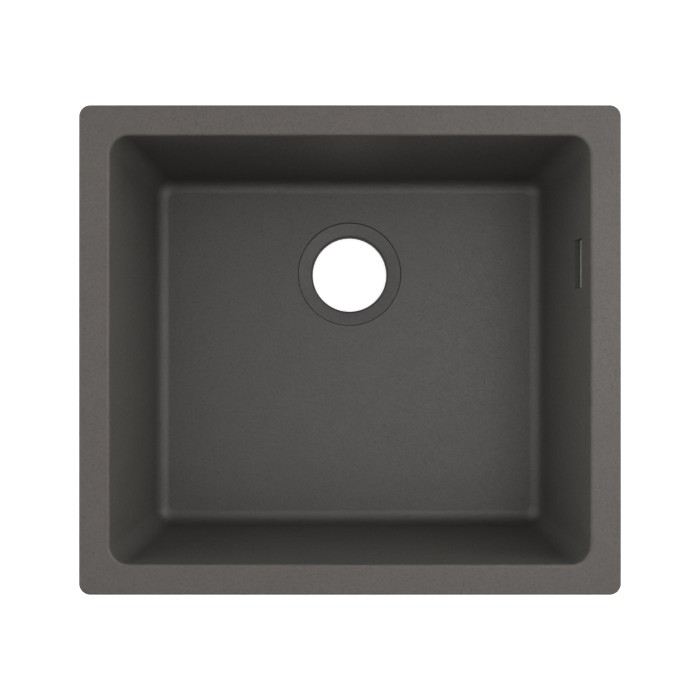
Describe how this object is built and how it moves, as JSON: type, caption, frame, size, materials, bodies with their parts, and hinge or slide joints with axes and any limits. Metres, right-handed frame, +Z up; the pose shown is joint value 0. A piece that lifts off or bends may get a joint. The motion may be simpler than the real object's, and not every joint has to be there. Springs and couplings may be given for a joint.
{
  "type": "kitchen sink",
  "caption": "Rectangular granite-composite kitchen sink with a flat rim, deep bowl, open waste hole, overflow slot with outlet, and swing-out clamps under the rim.",
  "frame": {"origin": "centre of the rim, in the plane of its top face", "axes": "+X to the user's right (the side with the overflow), +Y to the back (the side with the waste hole), +Z up"},
  "size_m": [0.55, 0.497, 0.208],
  "materials": {
    "granite_composite": "matt dark grey quartz and resin with a fine speckle",
    "brass": "plain turned brass",
    "zinc_steel": "bright zinc-plated steel",
    "grey_plastic": "moulded mid-grey polypropylene",
    "rubber": "matt black rubber"
  },
  "bodies": {
    "sink": {"sink_bowl": "granite_composite", "clamp_inserts": "brass", "overflow_gasket": "rubber", "overflow_housing": "grey_plastic", "overflow_screws": "zinc_steel", "overflow_inserts": "brass"},
    "screw_1": {"clamp_screw_1": "zinc_steel", "clamp_washer_1": "zinc_steel"},
    "claw_1": {"clamp_claw_1": "zinc_steel"},
    "screw_2": {"clamp_screw_2": "zinc_steel", "clamp_washer_2": "zinc_steel"},
    "claw_2": {"clamp_claw_2": "zinc_steel"},
    "screw_3": {"clamp_screw_3": "zinc_steel", "clamp_washer_3": "zinc_steel"},
    "claw_3": {"clamp_claw_3": "zinc_steel"},
    "screw_4": {"clamp_screw_4": "zinc_steel", "clamp_washer_4": "zinc_steel"},
    "claw_4": {"clamp_claw_4": "zinc_steel"},
    "screw_5": {"clamp_screw_5": "zinc_steel", "clamp_washer_5": "zinc_steel"},
    "claw_5": {"clamp_claw_5": "zinc_steel"},
    "screw_6": {"clamp_screw_6": "zinc_steel", "clamp_washer_6": "zinc_steel"},
    "claw_6": {"clamp_claw_6": "zinc_steel"},
    "screw_7": {"clamp_screw_7": "zinc_steel", "clamp_washer_7": "zinc_steel"},
    "claw_7": {"clamp_claw_7": "zinc_steel"},
    "screw_8": {"clamp_screw_8": "zinc_steel", "clamp_washer_8": "zinc_steel"},
    "claw_8": {"clamp_claw_8": "zinc_steel"}
  },
  "joints": [
    {"name": "clamp_1_tighten", "type": "slide", "parent": "sink", "child": "screw_1", "axis": [0, 0, 1], "range_m": [0, 0.018]},
    {"name": "clamp_1_swing", "type": "hinge", "parent": "screw_1", "child": "claw_1", "pos_m": [0.259, -0.18, -0.086], "axis": [0, 0, 1], "range_deg": [0, 90]},
    {"name": "clamp_2_tighten", "type": "slide", "parent": "sink", "child": "screw_2", "axis": [0, 0, 1], "range_m": [0, 0.018]},
    {"name": "clamp_2_swing", "type": "hinge", "parent": "screw_2", "child": "claw_2", "pos_m": [0.259, 0.18, -0.086], "axis": [0, 0, 1], "range_deg": [0, 90]},
    {"name": "clamp_3_tighten", "type": "slide", "parent": "sink", "child": "screw_3", "axis": [0, 0, 1], "range_m": [0, 0.018]},
    {"name": "clamp_3_swing", "type": "hinge", "parent": "screw_3", "child": "claw_3", "pos_m": [0.15, 0.2325, -0.086], "axis": [0, 0, 1], "range_deg": [0, 90]},
    {"name": "clamp_4_tighten", "type": "slide", "parent": "sink", "child": "screw_4", "axis": [0, 0, 1], "range_m": [0, 0.018]},
    {"name": "clamp_4_swing", "type": "hinge", "parent": "screw_4", "child": "claw_4", "pos_m": [-0.15, 0.2325, -0.086], "axis": [0, 0, 1], "range_deg": [0, 90]},
    {"name": "clamp_5_tighten", "type": "slide", "parent": "sink", "child": "screw_5", "axis": [0, 0, 1], "range_m": [0, 0.018]},
    {"name": "clamp_5_swing", "type": "hinge", "parent": "screw_5", "child": "claw_5", "pos_m": [-0.259, 0.18, -0.086], "axis": [0, 0, 1], "range_deg": [0, 90]},
    {"name": "clamp_6_tighten", "type": "slide", "parent": "sink", "child": "screw_6", "axis": [0, 0, 1], "range_m": [0, 0.018]},
    {"name": "clamp_6_swing", "type": "hinge", "parent": "screw_6", "child": "claw_6", "pos_m": [-0.259, -0.18, -0.086], "axis": [0, 0, 1], "range_deg": [0, 90]},
    {"name": "clamp_7_tighten", "type": "slide", "parent": "sink", "child": "screw_7", "axis": [0, 0, 1], "range_m": [0, 0.018]},
    {"name": "clamp_7_swing", "type": "hinge", "parent": "screw_7", "child": "claw_7", "pos_m": [-0.15, -0.2325, -0.086], "axis": [0, 0, 1], "range_deg": [0, 90]},
    {"name": "clamp_8_tighten", "type": "slide", "parent": "sink", "child": "screw_8", "axis": [0, 0, 1], "range_m": [0, 0.018]},
    {"name": "clamp_8_swing", "type": "hinge", "parent": "screw_8", "child": "claw_8", "pos_m": [0.15, -0.2325, -0.086], "axis": [0, 0, 1], "range_deg": [0, 90]}
  ]
}
